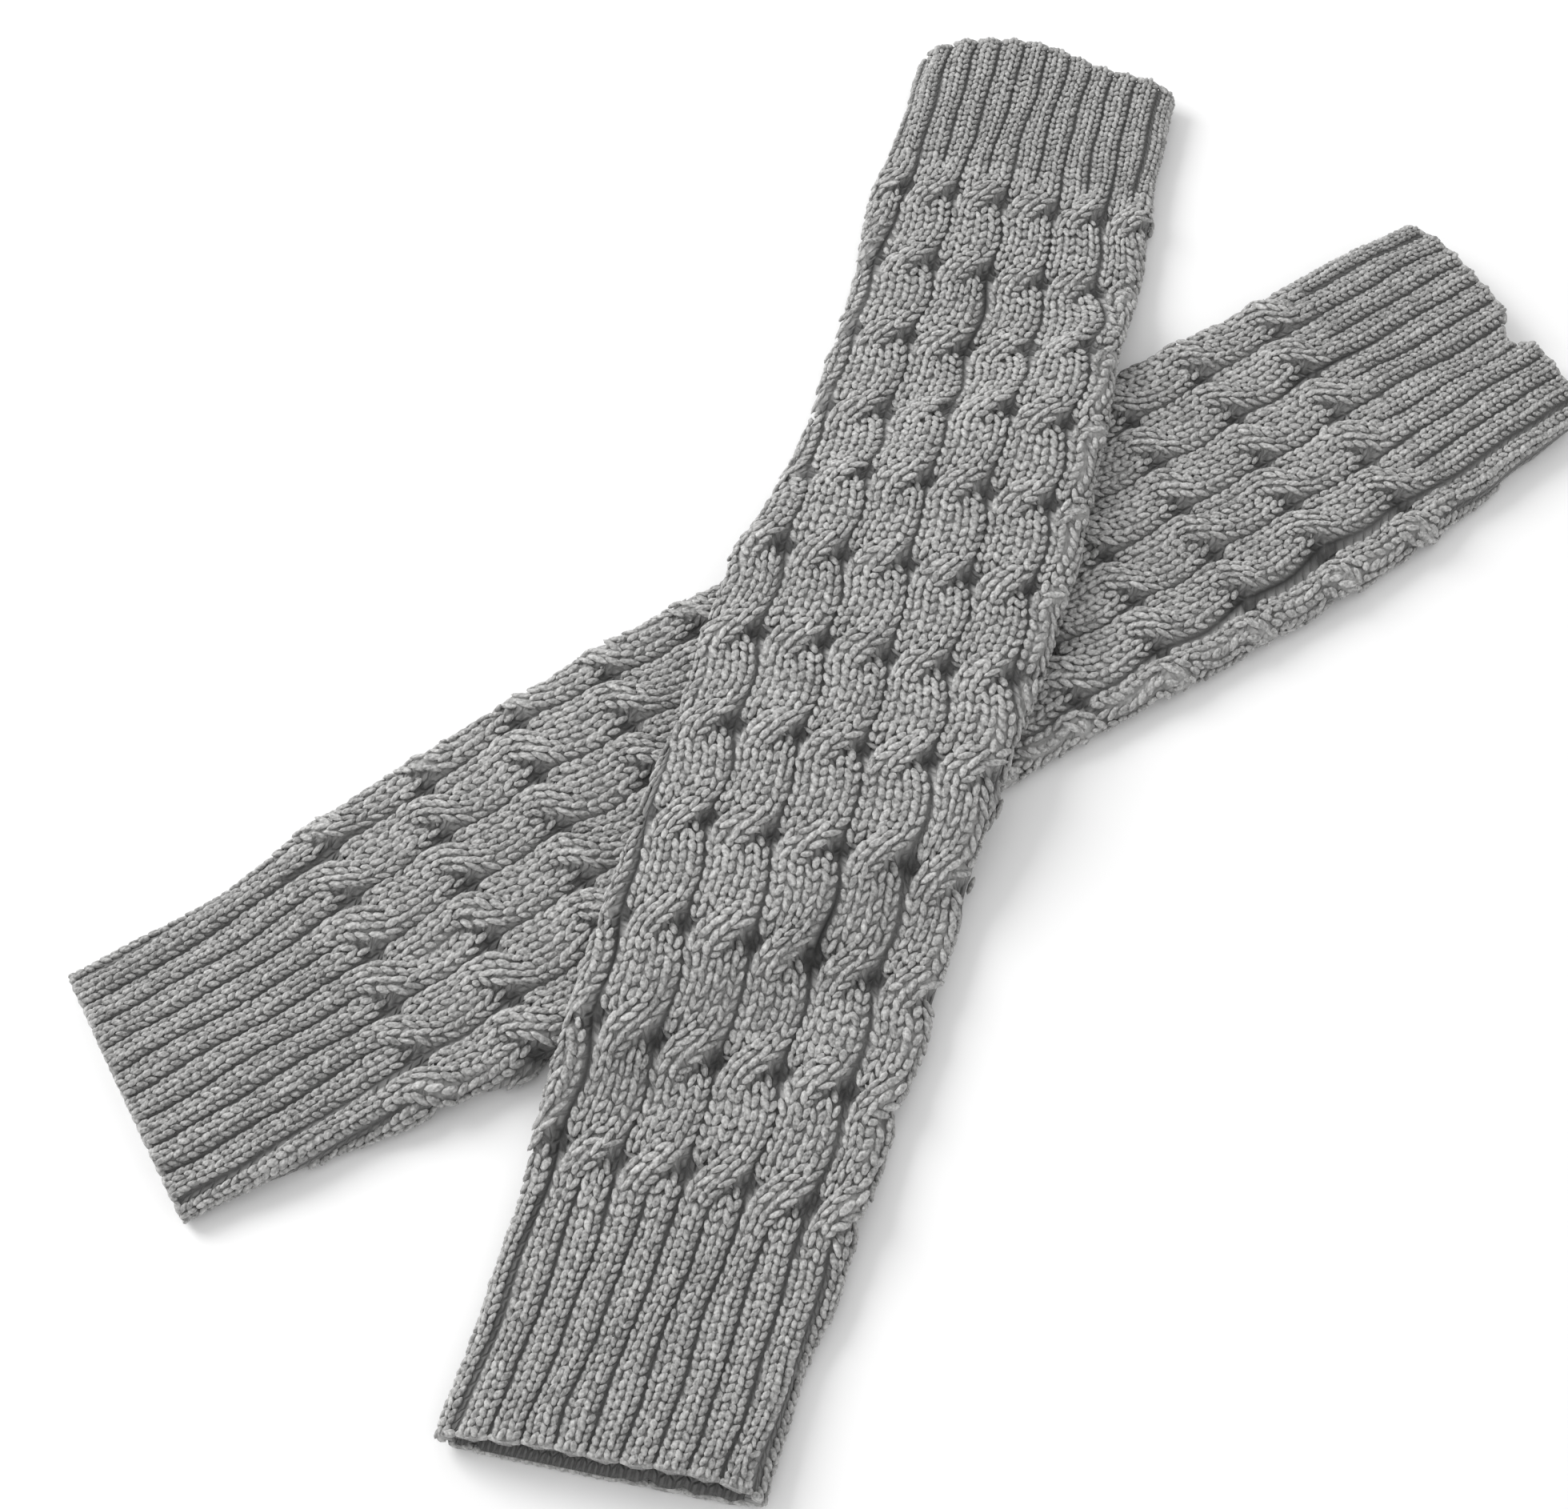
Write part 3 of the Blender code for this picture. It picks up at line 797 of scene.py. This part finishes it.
def strandStitch(row, over, wale, side, tip):
    # place along, column in its cable and rise of one tip of a leg, and how far it is covered
    middle = (row + 0.5) / cable["rows"]
    repeat = np.floor(middle)
    shift = (0.5 if tip == "point" else -0.5) * stitch["length"] / cable["rows"]
    course = np.clip(middle - repeat + shift, 0.0, 1.0)
    centre, slope = strandSwap(course, over)
    lean = slope * steepness
    square = np.sqrt(1.0 + lean * lean)
    drawn = np.clip(np.abs(lean), 0.0, 1.0) * stitch["drawn"]
    spread = stitch[tip] * (1.0 - drawn) + stitch["drawnTo"] * drawn
    pulled = crossingShare(course, cable["crossingLength"]) * (1.0 if over else 0.0)
    wider = 1.0 + cable["overSpread"] * pulled
    share = ribShare(middle)
    tight = 1.0 - share * (cable["ribGroove"] - cable["groove"]) / (1.0 - cable["groove"])
    offset = (wale + side * spread) * waleShare() * wider * tight
    if over:
        inCable = centre + offset / square
        place = middle + shift - slope * offset * steepness * steepness / square
    else:
        inCable = centre + offset
        place = middle + shift
    at = np.clip(place - repeat, 0.0, 1.0)
    crossing = crossingShare(at, cable["twistLength"])
    inCable = 0.5 + (inCable - 0.5) * (1.0 - cable["waist"] * crossingShare(at, cable["waistLength"]))
    full = fullHeight(np.clip(inCable, 0.0, 1.0))
    if over:
        halfWidth = waleShare() * cable["overFullness"] * wider
        own = strandHeight(offset, halfWidth, fabric["cableRise"] + cable["crossingRise"])
        rise = full * (1.0 - crossing) + own * crossing
        covered = np.zeros_like(inCable)
    else:
        covered = coveredShare(inCable, at)
        dip, dipLength = cable["underDip"]
        dipped = np.maximum(covered, dip * crossingShare(at, dipLength))
        rise = full * (1.0 - dipped) - cable["underDeeper"] * covered
    ribs = ribHeight(0.5 + offset * ribbedCuff["perCable"])
    return place, inCable, rise * (1.0 - share) + ribs * share, covered * (1.0 - share)


# Where the fabric is measured for its stretch, to each side of a cable's or rib's middle, in columns
measured = {"cable": 0.3, "rib": 0.15}


def cabledStitches(warmer):
    start, end = legSpan(warmer)
    spacing = (end - start) / cable["crossings"]
    row, cables = np.meshgrid(np.arange(cable["crossings"] * cable["rows"]),
                              np.arange(fabric["cablesShown"]), indexing="ij")
    groups = []
    for over in (False, True):
        for wale in (-0.5, 0.5):
            for side in (-1.0, 1.0):
                ends = []
                for tip in ("point", "open"):
                    place, inCable, rise, covered = strandStitch(row, over, wale, side, tip)
                    along = start + np.clip(place, 0.0, cable["crossings"]) * spacing
                    stretch = stretchAt(warmer, along, cables + 0.5, measured["cable"])
                    ends.append((along, cables + (0.5 + (inCable - 0.5) / stretch), rise))
                seed = int(10 * (over + 2 * wale + 4 * side) + 100)
                legs, facing = legsBetween(warmer, *ends, waleShare(), stitch["thick"], seed, stretch)
                shown = (facing > stitch["lowestShown"]) & (covered < stitch["mostCovered"])
                groups.append(keep(legs, shown))
    return join(groups)


def ribbedStitches(warmer, start, end):
    count = max(int(round((end - start) / ribbedCuff["rowHeight"])), 1)
    height = (end - start) / count
    perCable = ribbedCuff["perCable"]
    row, rib = np.meshgrid(np.arange(count), np.arange(fabric["cablesShown"] * perCable), indexing="ij")
    waleWidth = (1.0 - ribbedCuff["groove"]) * perCable / cable["wales"]
    groups = []
    for wale in (-0.5, 0.5):
        for side in (-1.0, 1.0):
            ends = []
            for tip, shift in (("point", 0.5), ("open", -0.5)):
                inRib = 0.5 + (wale + side * ribbedCuff[tip]) * waleWidth
                along = start + np.clip((row + 0.5 + shift * stitch["length"]) * height, 0.0, end - start)
                stretch = stretchAt(warmer, along, (rib + 0.5) / perCable, measured["rib"])
                held = 0.5 + (inRib - 0.5) / stretch
                ends.append((along, (rib + held) / perCable, np.full(rib.shape, float(ribHeight(inRib)))))
            seed = int(20 * (wale + 2 * side) + 300)
            width = waleWidth / perCable
            legs, facing = legsBetween(warmer, *ends, width, ribbedCuff["thick"], seed, stretch)
            groups.append(keep(legs, facing > stitch["lowestShown"]))
    return join(groups)


# The rolled edge of cast-on loops round an open rim, one to a wale
rimLoop = {
    "inward": 0.35 * mm,            # from the rim
    "deep": 1.1 * mm,               # below the fabric's outside, on top and underneath
    "deepBelow": 1.5 * mm,
    "overlap": 1.15,
    "halfThick": 1.35 * mm,
    "halfWide": 0.95 * mm,
}


def rimLoops(warmer, rim, inward):
    count = fabric["cablesRound"] * cable["wales"]
    column = (np.arange(count) + 0.5) / cable["wales"]
    half = 0.5 / cable["wales"]
    along = np.full(column.shape, rim + inward * rimLoop["inward"])
    shown = column < fabric["cablesShown"]
    rise = np.where(shown, ribHeight(acrossRib(column)), 0.0)
    along = along + (rimRecess(warmer, along, column) + rimWave(warmer, along, column))
    facing = tubePoint(warmer, along, column, rise)[1]
    deep = -np.where(facing > 0.0, rimLoop["deep"], rimLoop["deepBelow"])
    middle = tubePoint(warmer, along, column, rise, deep)[0]
    before = tubePoint(warmer, along, column - half, rise, deep)[0]
    after = tubePoint(warmer, along, column + half, rise, deep)[0]
    higher = tubePoint(warmer, along, column, rise, deep + mm)[0]
    long = 0.5 * np.linalg.norm(after - before, axis=-1) * rimLoop["overlap"]
    thick, wide = (np.full(long.shape, rimLoop[way]) for way in ("halfThick", "halfWide"))
    size = np.stack([thick, wide, long], -1)
    return [middle, unit(after - before), unit(higher - middle), size, np.zeros(count)]


# The fabric itself: a hollow flattened tube, plain inside and underneath
shell = {
    "columnsPerCable": 12,
    "columnsUnder": 18,
    "innerColumns": 60,
    "rowsPerCrossing": 14,
    "cuffRows": 22,
    "belowStitches": 0.55 * mm,
    "rowHeight": 3.0 * mm,          # of the knit drawn on it
    "shadeRise": 0.7,               # of a cable's rise: below it the fabric is painted in shade
    "shadePower": 0.7,
    # painted shade on the inside of the tube
    "shadeInside": 0.5,
}


def ringFaces(first, rows, count, outward):
    # faces between rings of points; a corner is its point, and 1 where it has come once round
    faces = []
    for row in range(rows - 1):
        for n in range(count):
            a, b = first + row * count + n, first + row * count + (n + 1) % count
            turn = (n + 1) // count
            face = ((a, 0), (a + count, 0), (b + count, turn), (b, turn))
            faces.append(face if outward else (face[0], face[3], face[2], face[1]))
    return faces


def rimFaces(outFirst, outColumns, inFirst, inColumns, atTop):
    # a strip of faces from an outer ring to an inner one, which has other columns
    outCount, inCount = len(outColumns), len(inColumns)
    outStops = list(outColumns[1:]) + [fabric["cablesRound"], math.inf]
    inStops = list(inColumns[1:]) + [fabric["cablesRound"], math.inf]
    faces = []
    i = j = 0
    while i < outCount or j < inCount:
        outer = (outFirst + i % outCount, i // outCount)
        inner = (inFirst + j % inCount, j // inCount)
        if outStops[i] <= inStops[j]:
            i += 1
            third = (outFirst + i % outCount, i // outCount)
        else:
            j += 1
            third = (inFirst + j % inCount, j // inCount)
        faces.append((outer, third, inner) if atTop else (outer, inner, third))
    return faces


def closedTube(name, outer, inner, outColumns, inColumns):
    # outer and inner are rings of points, from the top down; also gives the corners of all faces
    outRows, outCount = outer.shape[:2]
    inRows, inCount = inner.shape[:2]
    inFirst = outRows * outCount
    faces = ringFaces(0, outRows, outCount, True) + ringFaces(inFirst, inRows, inCount, False)
    faces += rimFaces(0, outColumns, inFirst, inColumns, True)
    faces += rimFaces(inFirst - outCount, outColumns, inFirst + (inRows - 1) * inCount, inColumns, False)
    points = np.concatenate([outer.reshape(-1, 3), inner.reshape(-1, 3)])
    mesh = bpy.data.meshes.new(name)
    mesh.from_pydata(points.tolist(), [], [[point for point, _ in face] for face in faces])
    mesh.shade_smooth()
    outRings = np.repeat(np.arange(outRows), outCount)
    inRings = np.repeat(np.arange(inRows), inCount) + outRows
    rings = np.concatenate([outRings, inRings]).tolist()
    rims = (0, outRows - 1, outRows, outRows + inRows - 1)
    for edge in mesh.edges:
        a, b = (rings[vertex] for vertex in edge.vertices)
        edge.use_edge_sharp = a == b and a in rims
    return mesh, np.array([corner for face in faces for corner in face])


def tubeShell(name, warmer, along, relief):
    # relief takes the column and the place along, and gives the rise of the raised part
    shownCables = fabric["cablesShown"]
    hiddenCables = fabric["cablesRound"] - shownCables
    shown = np.arange(shownCables * shell["columnsPerCable"]) / shell["columnsPerCable"]
    under = shownCables + hiddenCables * np.arange(shell["columnsUnder"]) / shell["columnsUnder"]
    outColumns = np.concatenate([shown, under])
    inColumns = fabric["cablesRound"] * np.arange(shell["innerColumns"]) / shell["innerColumns"]
    outAlong, outColumn = np.meshgrid(along, outColumns, indexing="ij")
    inAlong, inColumn = np.meshgrid(along[::2], inColumns, indexing="ij")
    rise = np.where(outColumn < shownCables, relief(outColumn, outAlong), 0.0)
    outer, _ = laidPoint(warmer, outAlong, outColumn, np.maximum(rise - shell["belowStitches"], 0.0))
    inner, _ = laidPoint(warmer, inAlong, inColumn, np.full(inAlong.shape, -fabric["wall"]))
    mesh, corners = closedTube(name, outer, inner, outColumns, inColumns)
    column = np.concatenate([outColumn.ravel(), inColumn.ravel()])[corners[:, 0]]
    place = np.concatenate([outAlong.ravel(), inAlong.ravel()])[corners[:, 0]]
    wales = (column + corners[:, 1] * fabric["cablesRound"]) * cable["wales"]
    knit = np.stack([wales, place / shell["rowHeight"]], -1)
    mesh.uv_layers.new(name="knit").data.foreach_set("uv", knit.astype(np.float32).ravel())
    # painted shade: fabric lying low between the stitches, more in open grooves, and the inside of the tube,
    # darkened through the "depth" attribute
    low = np.clip(1.0 - rise / (shell["shadeRise"] * fabric["cableRise"]), 0.0, 1.0) ** shell["shadePower"]
    low *= grooveShade(warmer, outAlong, outColumn)
    low[outColumn >= shownCables] = 0.0
    depth = np.concatenate([low.ravel(), np.full(inAlong.size, shell["shadeInside"])])
    mesh.attributes.new("depth", "FLOAT", "POINT").data.foreach_set("value", depth.astype(np.float32))
    mesh.materials.append(groundFinish)
    print(name, countTriangles(mesh), "triangles")
    return placed(name, mesh)


def legRelief(warmer):
    start, end = legSpan(warmer)
    spacing = (end - start) / cable["crossings"]

    def relief(column, along):
        place = (along - start) / spacing
        stretch = stretchAt(warmer, along, np.floor(column) + 0.5, measured["cable"])
        held = np.clip(0.5 + (column % 1.0 - 0.5) * stretch, 0.0, 1.0)
        return cableRelief(held, place % 1.0, place)

    return relief


def cuffRelief(warmer):
    perCable = ribbedCuff["perCable"]

    def relief(column, along):
        ribMiddle = (np.floor(column * perCable) + 0.5) / perCable
        stretch = stretchAt(warmer, along, ribMiddle, measured["rib"])
        return ribHeight(np.clip(0.5 + (acrossRib(column) - 0.5) * stretch, 0.0, 1.0))

    return relief


def around(warmer, start, end):
    # all the way round the tube, meaned over nine places
    left, right = readOutline(warmer, np.linspace(start, end, 9))[:2]
    return float(np.mean(distanceRound(left, right)))


def dress(warmer, rests):
    start, end = legSpan(warmer)
    spans = {
        "top_cuff": (0.0, start),
        "leg": (start, end),
        "ankle_cuff": (end, warmer["length"]),
    }
    for part, (first, last) in spans.items():
        node = warmer["name"] + "_" + part
        if part == "leg":
            rows = cable["crossings"] * shell["rowsPerCrossing"]
            relief, legs = legRelief(warmer), cabledStitches(warmer)
        else:
            rows = shell["cuffRows"]
            rim, inward = (first, 1.0) if part == "top_cuff" else (last, -1.0)
            relief = cuffRelief(warmer)
            legs = join([ribbedStitches(warmer, first, last), rimLoops(warmer, rim, inward)])
        fabricPiece = tubeShell(node + "_knit", warmer, np.linspace(first, last, rows + 1), relief)
        stitches = growStitches(node + "_stitches", legs, seed=len(node))
        for piece in (fabricPiece, stitches):
            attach(piece, "root")
        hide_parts(node)
        around(warmer, first, last)
        last - first
        rests if part == "leg" else ["floor"]


# A plain pale table, soft light from the upper left, and the photograph's camera
studio = {
    "floorHalf": 4.0,
    "floorBelow": 0.2 * mm,
    "floorShade": 0.95,
    "floorRoughness": 0.8,
    "skyStrength": 0.79,
    "keyPower": 14.5,
    "keySize": 0.8,
    "keyPlace": (-1.05, 0.50, 0.95),
    "cameraPlace": (-0.0162, -0.3214, 0.5009),      # from where the leg warmers cross
    "cameraDown": 58.48,            # degrees below level
    "sensor": 36.0,                 # in mm, across the picture
    "focalPixels": 3004.0,
    "pictureWidth": 1960.0,
    "nearest": 10.0 * mm,
}


def makeFloor():
    half, low = studio["floorHalf"], -studio["floorBelow"]
    mesh = bpy.data.meshes.new("floor")
    corners = [(-half, -half, low), (half, -half, low), (half, half, low), (-half, half, low)]
    mesh.from_pydata(corners, [], [(0, 1, 2, 3)])
    finish, _, surface = newMaterial("paleTable")
    surface.inputs["Base Color"].default_value = (studio["floorShade"],) * 3 + (1.0,)
    surface.inputs["Roughness"].default_value = studio["floorRoughness"]
    mesh.materials.append(finish)
    placed("floor", mesh)


def makeLight():
    sky = bpy.data.worlds.new("softRoom")
    sky.use_nodes = True
    background = sky.node_tree.nodes["Background"]
    background.inputs["Color"].default_value = (1.0, 1.0, 1.0, 1.0)
    background.inputs["Strength"].default_value = studio["skyStrength"]
    bpy.context.scene.world = sky
    lamp = bpy.data.lights.new("softbox", "AREA")
    lamp.energy = studio["keyPower"]
    lamp.size = studio["keySize"]
    key = placed("softbox", lamp)
    key.location = studio["keyPlace"]
    key.rotation_euler = (-Vector(studio["keyPlace"])).to_track_quat("-Z", "Y").to_euler()


def makeCamera():
    camera = placed("camera", bpy.data.cameras.new("camera"))
    x, y, z = studio["cameraPlace"]
    camera.location = (lay["crossingPoint"][0] + x, lay["crossingPoint"][1] + y, z)
    camera.rotation_euler = (math.radians(90.0 - studio["cameraDown"]), 0.0, 0.0)
    camera.data.sensor_width = studio["sensor"]
    camera.data.lens = studio["sensor"] * studio["focalPixels"] / studio["pictureWidth"]
    camera.data.clip_start = studio["nearest"]
    bpy.context.scene.camera = camera
    bpy.context.scene.view_settings.view_transform = "Standard"


makeFloor()
makeLight()
makeCamera()
print("table, light and camera set up")
dress(underLegWarmer, ["floor"])
print("lower leg warmer knitted")
dress(overLegWarmer, ["under_leg_knit", "floor"])
print("upper leg warmer knitted")
